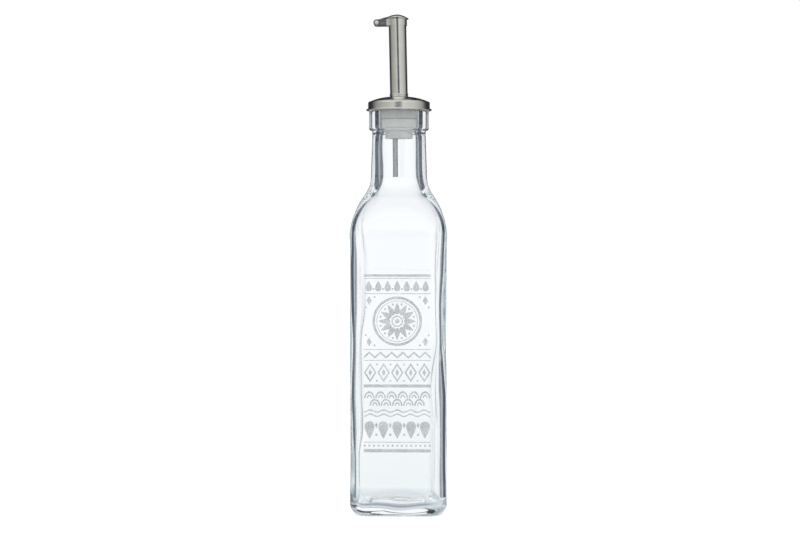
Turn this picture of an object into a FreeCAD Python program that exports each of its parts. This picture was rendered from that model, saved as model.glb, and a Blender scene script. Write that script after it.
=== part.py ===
import FreeCAD, Part
import math
import os

from FreeCAD import Rotation, Vector

# An empty oil bottle of clear glass: a square body, a round neck with a thick collar, and a steel
# pourer whose spout has a hinged flap lid. Millimetres; +Z up; the origin is the centre of the
# base, X runs across the front towards the side away from the lid's hinge.

# Glass body
body_width = 58.0
body_height = 165.0
corner_radius = 11.0
side_wall = 2.8
heel_radius = 7.0
floor_thickness = 5.0
hollow_heel_radius = 5.0
push_up_depth = 2.0
push_up_draft = 1.5
bearing_width = 4.0

# Shoulder: a convex arc that leaves the body upright, then a concave arc into the neck
shoulder_rise = 38.0
shoulder_radius = 46.0
hollow_shoulder_delay = 2.0

# Neck and collar
bore_radius = 11.2
neck_wall = 4.9
neck_flare = 0.8
neck_height = 27.3
collar_step = 1.9
collar_height = 16.1
collar_edge = 1.2

# Plastic stopper; depths are measured down from the rim
stopper_clearance = 0.2
stopper_flange = 0.8
stopper_flange_inset = 0.5
stopper_ledge = 0.3
ledge_depth = 9.4
taper_depth = 14.2
taper_height = 2.4
nose_depth = 21.1
nose_radius = 8.35
pour_channel_radius = 2.9
channel_web = 0.3
slot_width = 0.8
slot_height = 2.0
slot_depth = 0.7
slot_angle = 28.0
slot_drop = 0.8

# Steel air tube
air_tube_radius = 1.5
air_tube_wall = 0.35
air_tube_offset = 2.3
air_tube_reach = 23.0
air_tube_clearance = 0.02

# Pourer cap, pressed from sheet
cap_sheet = 0.5
cap_clearance = 0.15
cap_hole_clearance = 0.15
cap_skirt = 5.0
cap_corner = 0.9
cap_dome_rise = 2.8
cap_crown_margin = 0.5
cap_lip_reach = 1.15
cap_lip_height = 1.1

# Spout tube; its length is measured up from the cap's crown
spout_radius = 5.3
spout_wall = 0.5
spout_length = 46.9
spout_socket_depth = 3.0
spout_clearance = 0.05
spout_lean = 1.2
foot_reach = 1.2
foot_height = 0.8
bead_gap = 0.2
bead_proud = 0.4
bead_half_height = 0.5

# Hinge: a sleeve round the spout's top with two ears, and a rivet through them
sleeve_wall = 0.45
sleeve_height = 3.9
ear_gap = 4.8
ear_sheet = 0.6
ear_flare_radius = 4.0
hinge_reach = 5.7
rivet_radius = 0.8
rivet_head_radius = 1.3
rivet_head_height = 0.6

# Flap lid
lid_overhang = 1.05
lid_sheet = 0.5
lid_edge = 0.35
lid_rim_width = 0.6
lid_rise = 2.2
lid_tip_radius = 0.3
lid_lift = 0.35
lid_slope = 3.5
knuckle_radius = 1.6
knuckle_side_clearance = 0.15
knuckle_running_clearance = 0.06
arm_sheet = 0.7

# Worked out from the sizes above
body_half = body_width / 2.0
hollow_half = body_half - side_wall
hollow_corner_radius = corner_radius - side_wall
outer_heel = min(heel_radius, 0.9 * corner_radius)
inner_heel = min(hollow_heel_radius, 0.9 * hollow_corner_radius)
floor_height = push_up_depth + floor_thickness
shoulder_end = body_height + shoulder_rise
collar_start = shoulder_end + neck_height
rim_height = collar_start + collar_height
neck_top_radius = bore_radius + neck_wall
neck_base_radius = neck_top_radius + neck_flare
collar_radius = neck_top_radius + collar_step
plug_radius = bore_radius - stopper_clearance
plug_lower_radius = plug_radius - stopper_ledge
ledge_height = rim_height - ledge_depth
taper_top = rim_height - taper_depth
nose_top = taper_top - taper_height
nose_bottom = rim_height - nose_depth
stopper_top = rim_height + stopper_flange
spout_bottom = stopper_top - spout_socket_depth
air_hole_radius = air_tube_radius + air_tube_clearance
pour_channel_offset = air_hole_radius - air_tube_offset + channel_web + pour_channel_radius
cap_inner_radius = collar_radius + cap_clearance
cap_outer_radius = cap_inner_radius + cap_sheet
cap_hole_radius = spout_radius + cap_hole_clearance
cap_crown_radius = spout_radius + foot_reach + cap_crown_margin
cap_shelf = stopper_top + cap_sheet
crown_height = cap_shelf + cap_dome_rise
foot_top = crown_height + foot_height
bead_centre = foot_top + bead_gap + bead_half_height
spout_top = crown_height + spout_length
sleeve_radius = spout_radius + sleeve_wall
sleeve_bottom = spout_top - sleeve_height
lid_radius = sleeve_radius + lid_overhang
hinge_offset = lid_radius + hinge_reach
hinge_height = spout_top - sleeve_height / 2.0
ear_half_gap = ear_gap / 2.0
ear_outside = ear_half_gap + ear_sheet

UP = Vector(0, 0, 1)
ROUNDEST = 0.98      # a corner's largest share of the half width, so that no side vanishes
OVERRUN = 1.0        # how far a cutting solid runs past the face it opens


# ---- Helpers

def rounded_square(half, radius, z):
    """Closed wire of four straight sides and four corner arcs, centred on the Z axis."""
    radius = min(radius, ROUNDEST * half)
    flat = half - radius
    middle = flat + radius * math.sqrt(0.5)
    edges = []
    for quarter in range(4):
        turn = Rotation(UP, 90 * quarter)
        low, high, bulge, end = (turn.multVec(Vector(x, y, z)) for x, y in (
            (half, -flat), (half, flat), (middle, middle), (flat, half)))
        edges.append(Part.makeLine(low, high))
        edges.append(Part.Arc(high, bulge, end).toShape())
    return Part.Wire(edges)


def square_post(half, radius, bottom, top):
    """Upright solid of rounded square section."""
    face = Part.Face(rounded_square(half, radius, bottom))
    return face.extrude(Vector(0, 0, top - bottom))


def round_lower_edge(post, radius, bottom):
    """Fillet the edges of a post that lie in its bottom face."""
    lower = [edge for edge in post.Edges if edge.BoundBox.ZMax < bottom + 0.01]
    return post.makeFillet(radius, lower)


def shoulder_half_width(z, body, neck, start, end, convex):
    """Half width of a shoulder at height z; the concave radius follows from tangency."""
    step = body - neck
    rise = end - start
    both = (step ** 2 + rise ** 2) / (2.0 * step)
    concave = both - convex
    if z <= start + convex * rise / both:
        return body - convex + math.sqrt(convex ** 2 - (z - start) ** 2)
    return neck + concave - math.sqrt(concave ** 2 - (end - z) ** 2)


def shoulder(body, corner, neck, start, end, convex, sections=13):
    """Solid that blends a rounded square body into a round neck."""
    wires = []
    for index in range(sections):
        share = index / (sections - 1)
        z = start + (end - start) * share
        half = shoulder_half_width(z, body, neck, start, end, convex)
        blend = share * share * (3.0 - 2.0 * share)
        wires.append(rounded_square(half, corner + (half - corner) * blend, z))
    return Part.makeLoft(wires, True, False)


def line(a, b):
    """Straight edge in the XZ plane between two (radius, height) points."""
    return Part.makeLine(Vector(a[0], 0, a[1]), Vector(b[0], 0, b[1]))


def arc(a, middle, b):
    """Arc in the XZ plane through three (radius, height) points."""
    points = [Vector(p[0], 0, p[1]) for p in (a, middle, b)]
    return Part.Arc(*points).toShape()


def revolve(edges):
    """Solid of revolution about the Z axis of a closed outline in the XZ plane."""
    return Part.Face(Part.Wire(edges)).revolve(Vector(0, 0, 0), UP, 360)


def revolve_polygon(points):
    """Solid of revolution of a polygon of (radius, height) points."""
    closed = points + points[:1]
    return revolve([line(a, b) for a, b in zip(closed, closed[1:])])


def cylinder(radius, bottom, top, x=0.0):
    """Upright cylinder between two heights."""
    return Part.makeCylinder(radius, top - bottom, Vector(x, 0, bottom))


def cross_cylinder(radius, x, y_from, y_to, z):
    """Cylinder lying along Y between two Y values."""
    return Part.makeCylinder(radius, y_to - y_from, Vector(x, y_from, z), Vector(0, 1, 0))


def lean(shape):
    """Tilt a spout piece towards the hinge side, about the centre of the cap's crown."""
    shape.rotate(Vector(0, 0, crown_height), Vector(0, 1, 0), -spout_lean)
    return shape


# ---- Glass bottle

def bottle_outside():
    """Body, shoulder, neck and collar as one solid, with no hollow."""
    body = square_post(body_half, corner_radius, 0.0, body_height)
    body = round_lower_edge(body, outer_heel, 0.0)
    blend = shoulder(body_half, corner_radius, neck_base_radius,
                     body_height, shoulder_end, shoulder_radius)
    neck = Part.makeCone(neck_base_radius, neck_top_radius, collar_start - shoulder_end + OVERRUN,
                         Vector(0, 0, shoulder_end))
    collar = cylinder(collar_radius, collar_start, rim_height)
    rims = [edge for edge in collar.Edges if isinstance(edge.Curve, Part.Circle)]
    collar = collar.makeFillet(collar_edge, rims)
    return body.fuse([blend, neck, collar])


def bottle_hollow():
    """Space inside the bottle, open past the rim."""
    shoulder_top = shoulder_end + hollow_shoulder_delay
    room = square_post(hollow_half, hollow_corner_radius, floor_height, body_height)
    room = round_lower_edge(room, inner_heel, floor_height)
    blend = shoulder(hollow_half, hollow_corner_radius, bore_radius,
                     body_height, shoulder_top, shoulder_radius - side_wall)
    bore = cylinder(bore_radius, shoulder_top, rim_height + OVERRUN)
    return room.fuse([blend, bore])


def push_up():
    """Shallow recess under the base, inside the ring that the bottle stands on."""
    half = body_half - outer_heel - bearing_width
    mouth = rounded_square(half, bearing_width, 0.0)
    roof = rounded_square(half - push_up_draft, bearing_width, push_up_depth)
    return Part.makeLoft([mouth, roof], True, True)


def make_bottle():
    return bottle_outside().cut(bottle_hollow()).cut(push_up())


# ---- Pourer

def make_stopper():
    """Plug with a flange on the rim, a slotted ledge, a narrow nose and two ways through."""
    flange_radius = collar_radius - stopper_flange_inset
    plug = revolve_polygon([
        (0.0, stopper_top), (flange_radius, stopper_top), (flange_radius, rim_height),
        (plug_radius, rim_height), (plug_radius, ledge_height),
        (plug_lower_radius, ledge_height), (plug_lower_radius, taper_top),
        (nose_radius, nose_top), (nose_radius, nose_bottom), (0.0, nose_bottom)])
    channel = cylinder(pour_channel_radius, nose_bottom - OVERRUN, stopper_top + OVERRUN,
                       pour_channel_offset)
    air_hole = cylinder(air_hole_radius, nose_bottom - OVERRUN, spout_bottom,
                        -air_tube_offset)
    air_way = cylinder(air_tube_radius - air_tube_wall, spout_bottom - OVERRUN,
                       stopper_top + OVERRUN, -air_tube_offset)
    socket = lean(cylinder(spout_radius + spout_clearance, spout_bottom,
                           stopper_top + OVERRUN))
    return plug.cut([channel, air_hole, air_way, socket] + stopper_slots())


def stopper_slots():
    """Four small upright slots just below the plug's ledge, two to each side."""
    top = ledge_height - slot_drop
    slots = []
    for angle in (slot_angle, 180 - slot_angle, 180 + slot_angle, -slot_angle):
        slot = Part.makeBox(slot_depth + OVERRUN, slot_width, slot_height,
                            Vector(plug_lower_radius - slot_depth, -slot_width / 2.0,
                                   top - slot_height))
        slot.rotate(Vector(0, 0, 0), UP, angle)
        slots.append(slot)
    return slots


def make_air_tube():
    """Thin tube from the stopper's socket to well below its nose."""
    bottom = nose_bottom - air_tube_reach
    outside = cylinder(air_tube_radius, bottom, spout_bottom, -air_tube_offset)
    inside = cylinder(air_tube_radius - air_tube_wall, bottom - OVERRUN,
                      spout_bottom + OVERRUN, -air_tube_offset)
    return outside.cut(inside)


def make_pourer_cap():
    """Pressed cap: flat crown, dome, rounded corner, skirt and a rolled lip round its foot."""
    hole = cap_hole_radius
    skirt_bottom = stopper_top - cap_skirt
    lip_top = skirt_bottom + cap_lip_height
    corner = cap_corner
    shoulder_r = cap_outer_radius - corner
    bulge = (cap_crown_radius + shoulder_r) / 2.0
    slack = corner * (1.0 - math.sqrt(0.5))
    inner_shoulder = cap_inner_radius - corner
    lip_middle = skirt_bottom + cap_lip_height / 2.0
    lip_radius = cap_outer_radius + cap_lip_reach
    outline = [
        line((hole, crown_height), (cap_crown_radius, crown_height)),
        arc((cap_crown_radius, crown_height), (bulge, cap_shelf + 0.68 * cap_dome_rise),
            (shoulder_r, cap_shelf)),
        arc((shoulder_r, cap_shelf), (cap_outer_radius - slack, cap_shelf - slack),
            (cap_outer_radius, cap_shelf - corner)),
        line((cap_outer_radius, cap_shelf - corner), (cap_outer_radius, lip_top)),
        line((cap_outer_radius, lip_top), (lip_radius - cap_lip_height / 2.0, lip_top)),
        arc((lip_radius - cap_lip_height / 2.0, lip_top), (lip_radius, lip_middle),
            (lip_radius - cap_lip_height / 2.0, skirt_bottom)),
        line((lip_radius - cap_lip_height / 2.0, skirt_bottom), (cap_inner_radius, skirt_bottom)),
        line((cap_inner_radius, skirt_bottom), (cap_inner_radius, stopper_top)),
        line((cap_inner_radius, stopper_top), (inner_shoulder, stopper_top)),
        arc((inner_shoulder, stopper_top), (bulge, stopper_top + 0.68 * cap_dome_rise),
            (cap_crown_radius, crown_height - cap_sheet)),
        line((cap_crown_radius, crown_height - cap_sheet), (hole, crown_height - cap_sheet)),
        line((hole, crown_height - cap_sheet), (hole, crown_height))]
    return revolve(outline)


def make_spout_tube():
    """Leaning tube with a bead and, below it, a flared foot cut level with the cap's crown."""
    r = spout_radius
    bore = spout_radius - spout_wall
    foot_edge = (r + foot_reach, crown_height)
    foot_bottom = crown_height - 2.0 * foot_edge[0] * math.sin(math.radians(spout_lean))
    outline = [
        line((bore, spout_bottom), (r, spout_bottom)),
        line((r, spout_bottom), (r, foot_bottom)),
        line((r, foot_bottom), (foot_edge[0], foot_bottom)),
        line((foot_edge[0], foot_bottom), foot_edge),
        arc(foot_edge, (r + 0.3 * foot_reach, crown_height + 0.3 * foot_height), (r, foot_top)),
        line((r, foot_top), (r, bead_centre - bead_half_height)),
        arc((r, bead_centre - bead_half_height), (r + bead_proud, bead_centre),
            (r, bead_centre + bead_half_height)),
        line((r, bead_centre + bead_half_height), (r, spout_top)),
        line((r, spout_top), (bore, spout_top)),
        line((bore, spout_top), (bore, spout_bottom))]
    below = cylinder(2.0 * foot_edge[0], crown_height - OVERRUN, crown_height)
    below = below.cut(cylinder(cap_hole_radius, spout_bottom, crown_height + OVERRUN))
    return lean(revolve(outline)).cut(below)


def sleeve_outline():
    """Plan of the sleeve with its two ears: arcs flare from the sleeve into the ears."""
    reach = -hinge_offset - sleeve_height / 2.0
    flare_y = ear_outside + ear_flare_radius
    flare_x = -math.sqrt((sleeve_radius + ear_flare_radius) ** 2 - flare_y ** 2)
    share = sleeve_radius / (sleeve_radius + ear_flare_radius)
    touch_x, touch_y = flare_x * share, flare_y * share
    mid_angle = (-math.pi / 2.0 + math.atan2(-flare_y, -flare_x)) / 2.0
    mid_x = flare_x + ear_flare_radius * math.cos(mid_angle)
    mid_y = flare_y + ear_flare_radius * math.sin(mid_angle)

    def at(x, y):
        return Vector(x, y, sleeve_bottom)

    return Part.Wire([
        Part.Arc(at(touch_x, touch_y), at(sleeve_radius, 0), at(touch_x, -touch_y)).toShape(),
        Part.Arc(at(touch_x, -touch_y), at(mid_x, -mid_y), at(flare_x, -ear_outside)).toShape(),
        Part.makeLine(at(flare_x, -ear_outside), at(reach, -ear_outside)),
        Part.makeLine(at(reach, -ear_outside), at(reach, ear_outside)),
        Part.makeLine(at(reach, ear_outside), at(flare_x, ear_outside)),
        Part.Arc(at(flare_x, ear_outside), at(mid_x, mid_y), at(touch_x, touch_y)).toShape()])


def make_hinge_sleeve():
    """Sleeve and ears from the plan, with round ear ends, a rivet hole and the tube's bore."""
    block = Part.Face(sleeve_outline()).extrude(Vector(0, 0, sleeve_height))
    wide = 4.0 * sleeve_radius
    keep = Part.makeBox(wide, wide, sleeve_height,
                        Vector(-hinge_offset, -wide / 2.0, sleeve_bottom))
    keep = keep.fuse(cross_cylinder(sleeve_height / 2.0, -hinge_offset, -wide / 2.0, wide / 2.0,
                                    hinge_height))
    slot = Part.makeBox(wide, ear_gap, sleeve_height + 2.0 * OVERRUN,
                        Vector(-wide, -ear_half_gap, sleeve_bottom - OVERRUN))
    slot = slot.cut(cylinder(sleeve_radius, sleeve_bottom - 2.0 * OVERRUN,
                             spout_top + 2.0 * OVERRUN))
    bore = cylinder(spout_radius, sleeve_bottom - OVERRUN, spout_top + OVERRUN)
    hole = cross_cylinder(rivet_radius, -hinge_offset, -wide / 2.0, wide / 2.0, hinge_height)
    return lean(block.common(keep).cut([slot, bore, hole]))


def make_rivet():
    """Pin through both ears with a domed head on each outer face."""
    pin = cross_cylinder(rivet_radius, -hinge_offset, -ear_outside, ear_outside, hinge_height)
    ball_radius = (rivet_head_radius ** 2 + rivet_head_height ** 2) / (2.0 * rivet_head_height)
    heads = []
    for side in (-1, 1):
        centre_y = side * (ear_outside + rivet_head_height - ball_radius)
        ball = Part.makeSphere(ball_radius, Vector(-hinge_offset, centre_y, hinge_height))
        near, far = sorted((side * ear_outside, side * (ear_outside + 2.0 * ball_radius)))
        heads.append(ball.common(cross_cylinder(
            2.0 * ball_radius, -hinge_offset, near, far, hinge_height)))
    return lean(pin.fuse(heads))


def make_lid():
    """Domed flap, an arm that runs down between the ears, and a knuckle round the rivet."""
    inner = lid_radius - lid_rim_width
    tip = lid_tip_radius
    roof = lid_edge + lid_rise
    ceiling = roof - lid_sheet
    outline = [
        line((0.0, roof), (0.0, ceiling)),
        line((0.0, ceiling), (tip, ceiling)),
        arc((tip, ceiling), (0.55 * inner, 0.62 * ceiling), (inner, 0.0)),
        line((inner, 0.0), (lid_radius, 0.0)),
        line((lid_radius, 0.0), (lid_radius, lid_edge)),
        arc((lid_radius, lid_edge), (0.52 * lid_radius, lid_edge + 0.68 * lid_rise),
            (tip, roof)),
        line((tip, roof), (0.0, roof))]
    flap = revolve(outline)
    flap.translate(Vector(0, 0, spout_top + lid_lift))
    flap.rotate(Vector(0, 0, spout_top + lid_lift), Vector(0, 1, 0), lid_slope)

    half = ear_half_gap - knuckle_side_clearance
    knuckle = cross_cylinder(knuckle_radius, -hinge_offset, -half, half, hinge_height)
    slope = math.radians(lid_slope)
    edge_x = -inner * math.cos(slope)
    edge_z = spout_top + lid_lift + inner * math.sin(slope)
    low = hinge_height + knuckle_radius - arm_sheet
    corners = [Vector(-hinge_offset, -half, low), Vector(-hinge_offset, -half, low + arm_sheet),
               Vector(edge_x, -half, edge_z + arm_sheet), Vector(edge_x, -half, edge_z)]
    arm = Part.Face(Part.makePolygon(corners + corners[:1])).extrude(Vector(0, 2.0 * half, 0))
    pin_hole = cross_cylinder(rivet_radius + knuckle_running_clearance, -hinge_offset,
                              -2.0 * half, 2.0 * half, hinge_height)
    return lean(flap.fuse([knuckle, arm]).cut(pin_hole))


# ---- Every piece, by node name

PIECES = {
    "bottle": make_bottle,
    "stopper": make_stopper,
    "air_tube": make_air_tube,
    "pourer_cap": make_pourer_cap,
    "spout_tube": make_spout_tube,
    "hinge_sleeve": make_hinge_sleeve,
    "rivet": make_rivet,
    "lid": make_lid,
}


def main():
    """Build each piece and write it to its own STEP file."""
    os.makedirs("parts", exist_ok=True)
    for node, make in PIECES.items():
        shape = make()
        solids = shape.Solids
        if len(solids) != 1 or not solids[0].isValid():
            raise RuntimeError(f"{node}: {len(solids)} solids, valid {shape.isValid()}")
        solids[0].exportStep(f"parts/{node}.step")
        box = solids[0].BoundBox
        print(f"{node:14s} volume {solids[0].Volume:10.1f} mm3  "
              f"x {box.XMin:.2f}..{box.XMax:.2f}  y {box.YMin:.2f}..{box.YMax:.2f}  "
              f"z {box.ZMin:.2f}..{box.ZMax:.2f}")


main()
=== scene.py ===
"""Looks of an empty oil bottle: clear glass, a steel pourer with a flap lid, an etched ornament.

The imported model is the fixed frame. Its glass is replaced by a finer shell with uneven walls, the
steel and plastic pieces are dressed where they lie, and a bright studio stands around them.
"""

import logging
import math
from dataclasses import dataclass, field, replace
from enum import Enum
from typing import Callable, Iterable, Sequence

import bmesh
import bpy
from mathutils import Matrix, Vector, noise


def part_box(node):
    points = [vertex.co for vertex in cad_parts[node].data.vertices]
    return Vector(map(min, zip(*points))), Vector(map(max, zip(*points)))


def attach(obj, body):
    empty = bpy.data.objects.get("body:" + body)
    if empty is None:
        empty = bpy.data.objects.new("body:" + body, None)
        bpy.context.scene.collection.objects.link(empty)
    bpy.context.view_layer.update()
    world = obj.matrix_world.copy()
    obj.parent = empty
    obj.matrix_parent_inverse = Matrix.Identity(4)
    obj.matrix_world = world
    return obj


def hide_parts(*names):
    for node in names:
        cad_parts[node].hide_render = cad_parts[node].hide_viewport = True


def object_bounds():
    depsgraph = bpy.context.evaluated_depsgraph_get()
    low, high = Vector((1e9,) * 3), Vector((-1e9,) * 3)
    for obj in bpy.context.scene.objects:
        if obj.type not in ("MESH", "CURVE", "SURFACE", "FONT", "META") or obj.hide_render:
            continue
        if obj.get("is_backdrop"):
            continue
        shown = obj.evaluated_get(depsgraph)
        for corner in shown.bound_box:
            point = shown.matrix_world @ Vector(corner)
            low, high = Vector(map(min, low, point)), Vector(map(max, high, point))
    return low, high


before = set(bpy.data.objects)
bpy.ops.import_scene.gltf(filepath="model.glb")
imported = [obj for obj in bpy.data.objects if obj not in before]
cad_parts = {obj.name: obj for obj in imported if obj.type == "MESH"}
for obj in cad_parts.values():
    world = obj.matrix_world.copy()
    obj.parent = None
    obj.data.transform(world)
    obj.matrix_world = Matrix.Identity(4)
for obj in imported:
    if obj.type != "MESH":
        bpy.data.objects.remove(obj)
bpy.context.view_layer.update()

LOG = logging.getLogger("oil_bottle")
MM = 0.001
BODY = "bottle_and_pourer"

Socket = bpy.types.NodeSocket
Shape = bmesh.types.BMesh
Colour = tuple[float, float, float]
Place = tuple[float, float, float]
Span = tuple[float, float]

# Most of a noise's values lie in this span.
NOISE_SPAN: Span = (0.3, 0.7)

# A Mix node's colour sockets by place, because their names repeat those of its other types.
MIX_SHARE, MIX_FIRST, MIX_SECOND, MIX_RESULT = 0, 6, 7, 2


# ---- Node trees


class NodeBook:
    """Writes one node tree: adds nodes, sets their sockets and joins them."""

    def __init__(self, tree: bpy.types.NodeTree) -> None:
        """Start from an empty tree.

        Args:
            tree: the tree to write; whatever it held is cleared.
        """
        self.tree = tree
        tree.nodes.clear()

    def add(self, kind: str, sockets: dict[str | int, object] | None = None,
            **settings: object) -> bpy.types.Node:
        """Add a node.

        Args:
            kind: the node's Blender type name.
            sockets: input name or index, to a constant or to an output socket to join.
            settings: attributes of the node itself.

        Returns:
            The new node.
        """
        node = self.tree.nodes.new(kind)
        for name, value in settings.items():
            setattr(node, name, value)
        for name, value in (sockets or {}).items():
            self.feed(node.inputs[name], value)
        return node

    def feed(self, socket: Socket, value: object) -> None:
        """Set a socket to a constant, or join an output socket to it.

        Args:
            socket: the input socket.
            value: a number, a colour, a vector or an output socket.
        """
        if isinstance(value, Socket):
            self.tree.links.new(value, socket)
        elif socket.type == "RGBA" and len(value) == 3:
            socket.default_value = (*value, 1.0)
        else:
            socket.default_value = value

    def maths(self, operation: str, *values: object) -> Socket:
        """Add a Math node and give its result; values are its inputs in order."""
        return self.add("ShaderNodeMath", dict(enumerate(values)),
                        operation=operation).outputs[0]

    def ramp(self, value: Socket, low: float, high: float,
             out_low: float = 0.0, out_high: float = 1.0) -> Socket:
        """Map a value smoothly, so that low gives out_low and high gives out_high."""
        return self.add("ShaderNodeMapRange", dict(enumerate((
            value, low, high, out_low, out_high))), interpolation_type="SMOOTHSTEP").outputs[0]

    def blend(self, share: object, a: object, b: object) -> Socket:
        """Mix two colours; share says how much of the second one shows."""
        return self.add("ShaderNodeMix", {MIX_SHARE: share, MIX_FIRST: a, MIX_SECOND: b},
                        data_type="RGBA").outputs[MIX_RESULT]

    def mottled(self, share: object, shade: Colour, dark: float) -> Socket:
        """Mottle a colour with a darker one."""
        return self.blend(share, tuple(channel * dark for channel in shade), shade)

    def noise_field(self, vector: object, scale: float, detail: float = 2.0,
                    roughness: float = 0.5) -> Socket:
        """Add a Noise texture, its scale in features to a metre, and give its value."""
        return self.add("ShaderNodeTexNoise", {"Vector": vector, "Scale": scale,
                        "Detail": detail, "Roughness": roughness}).outputs["Fac"]

    def cards(self, share: object, stops: Sequence[tuple[float, Colour]]
              ) -> Socket:
        """Add a Color Ramp of studio cards around the bottle.

        Args:
            share: the direction, 0 and 1 towards the camera and 0.5 towards the back.
            stops: each card edge's angle from the back, in degrees, and its light there.

        Returns:
            The light's colour.
        """
        node = self.add("ShaderNodeValToRGB", {"Fac": share})
        points = node.color_ramp.elements
        while len(points) < len(stops):
            points.new(0.5)
        for point, (angle, light) in zip(points, stops):
            point.position = 0.5 + angle / 360.0
            point.color = (*light, 1.0)
        return node.outputs["Color"]

    def object_place(self, scale: Place = (1.0, 1.0, 1.0)) -> Socket:
        """Add the piece's own coordinates in metres, each axis multiplied by its scale."""
        place = self.add("ShaderNodeTexCoord").outputs["Object"]
        return self.add("ShaderNodeMapping", {"Vector": place, "Scale": scale}).outputs[0]

    def bump(self, height: object, strength: float, distance: float) -> Socket:
        """Add a Bump node, its distance in metres, and give the bent normal."""
        return self.add("ShaderNodeBump", {
            "Height": height, "Strength": strength, "Distance": distance}).outputs["Normal"]

    def surface(self, sockets: dict[str, object], **others: Socket) -> None:
        """Show a Principled surface with these sockets, beside what the output also takes."""
        shader = self.add("ShaderNodeBsdfPrincipled", sockets)
        self.add("ShaderNodeOutputMaterial", {"Surface": shader.outputs[0], **others})


# ---- Finishes


class Grain(Enum):
    """Which way the fine lines of brushed steel run."""

    AROUND = (60.0, 60.0, 2600.0)
    ALONG = (2600.0, 2600.0, 60.0)


@dataclass(frozen=True)
class Finish:
    """The look of one material, kept as numbers until it is made."""

    name: str

    def make(self) -> bpy.types.Material:
        """Build the finish.

        Returns:
            The material.
        """
        material = bpy.data.materials.new(self.name)
        material.use_nodes = True
        self.write(NodeBook(material.node_tree))
        return material

    def write(self, book: NodeBook) -> None:
        """Write the look into a material's tree; each kind of finish has its own."""
        raise NotImplementedError


@dataclass(frozen=True)
class ClearGlass(Finish):
    """Soda-lime bottle glass: clear, faintly cool, with slow ripples from the mould."""

    name: str = "clear_glass"
    tint: Colour = (0.985, 0.995, 1.0)
    ior: float = 1.5
    depth_colour: Colour = (0.62, 0.83, 0.88)
    depth_density: float = 2.0
    ripple_scale: float = 42.0
    ripple: float = 0.06
    ripple_depth: float = 0.0006
    haze_scale: float = 900.0
    haze_span: Span = (0.35, 0.8)
    haze: float = 0.018

    def write(self, book: NodeBook) -> None:
        """Write the glass.

        Args:
            book: the material's node tree.
        """
        place = book.object_place()
        slow = book.noise_field(place, self.ripple_scale, detail=1.0)
        fine = book.noise_field(place, self.haze_scale, detail=3.0)
        rough = book.ramp(fine, *self.haze_span, 0.0, self.haze)
        ripples = book.bump(slow, self.ripple, self.ripple_depth)
        body = book.add("ShaderNodeVolumeAbsorption", {
            "Color": self.depth_colour, "Density": self.depth_density})
        book.surface({
            "Base Color": self.tint, "Roughness": rough, "IOR": self.ior,
            "Transmission Weight": 1.0, "Normal": ripples}, Volume=body.outputs[0])


@dataclass(frozen=True)
class EtchedFrost(Finish):
    """The ornament's frosted print: pale grey, part see-through, slightly grainy."""

    name: str = "etched_frost"
    shade: Colour = (0.20, 0.21, 0.222)
    cover: float = 0.33
    grain_scale: float = 3200.0
    grain_cover: float = 0.10
    patch_scale: float = 130.0
    patch_cover: float = 0.05
    roughness: Span = (0.55, 0.8)
    relief: float = 0.3
    relief_depth: float = 0.00005

    def write(self, book: NodeBook) -> None:
        """Write the print.

        Args:
            book: the material's node tree.
        """
        place = book.object_place()
        grain = book.noise_field(place, self.grain_scale)
        patch = book.noise_field(place, self.patch_scale)
        cover = book.maths(
            "ADD", book.ramp(grain, *NOISE_SPAN, -self.grain_cover, self.grain_cover),
            book.ramp(patch, *NOISE_SPAN, self.cover - self.patch_cover,
                      self.cover + self.patch_cover))
        rough = book.ramp(grain, *NOISE_SPAN, *self.roughness)
        book.surface({
            "Base Color": self.shade, "Roughness": rough, "Alpha": cover,
            "Normal": book.bump(grain, self.relief, self.relief_depth)})


@dataclass(frozen=True)
class SatinSteel(Finish):
    """Stainless steel with a satin finish, fine lines and a few soft smears."""

    grain: Grain
    shade: Colour = (0.66, 0.65, 0.62)
    roughness: float = 0.12
    line_relief: float = 0.02
    line_depth: float = 0.00002
    line_roughness: float = 0.03
    smear_scale: float = 160.0
    smear_span: Span = (0.3, 0.75)
    smear_dark: float = 0.93
    smear_roughness: Span = (-0.02, 0.04)

    def write(self, book: NodeBook) -> None:
        """Write the steel.

        Args:
            book: the material's node tree.
        """
        lines = book.noise_field(book.object_place(self.grain.value), 1.0, detail=3.0,
                                 roughness=0.6)
        smears = book.noise_field(book.object_place(), self.smear_scale, detail=3.0)
        colour = book.mottled(book.ramp(smears, *self.smear_span), self.shade, self.smear_dark)
        least, most = (self.roughness + change for change in self.smear_roughness)
        rough = book.maths(
            "ADD", book.ramp(lines, *NOISE_SPAN, -self.line_roughness, self.line_roughness),
            book.ramp(smears, *NOISE_SPAN, least, most))
        book.surface({
            "Base Color": colour, "Metallic": 1.0, "Roughness": rough,
            "Normal": book.bump(lines, self.line_relief, self.line_depth)})


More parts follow.
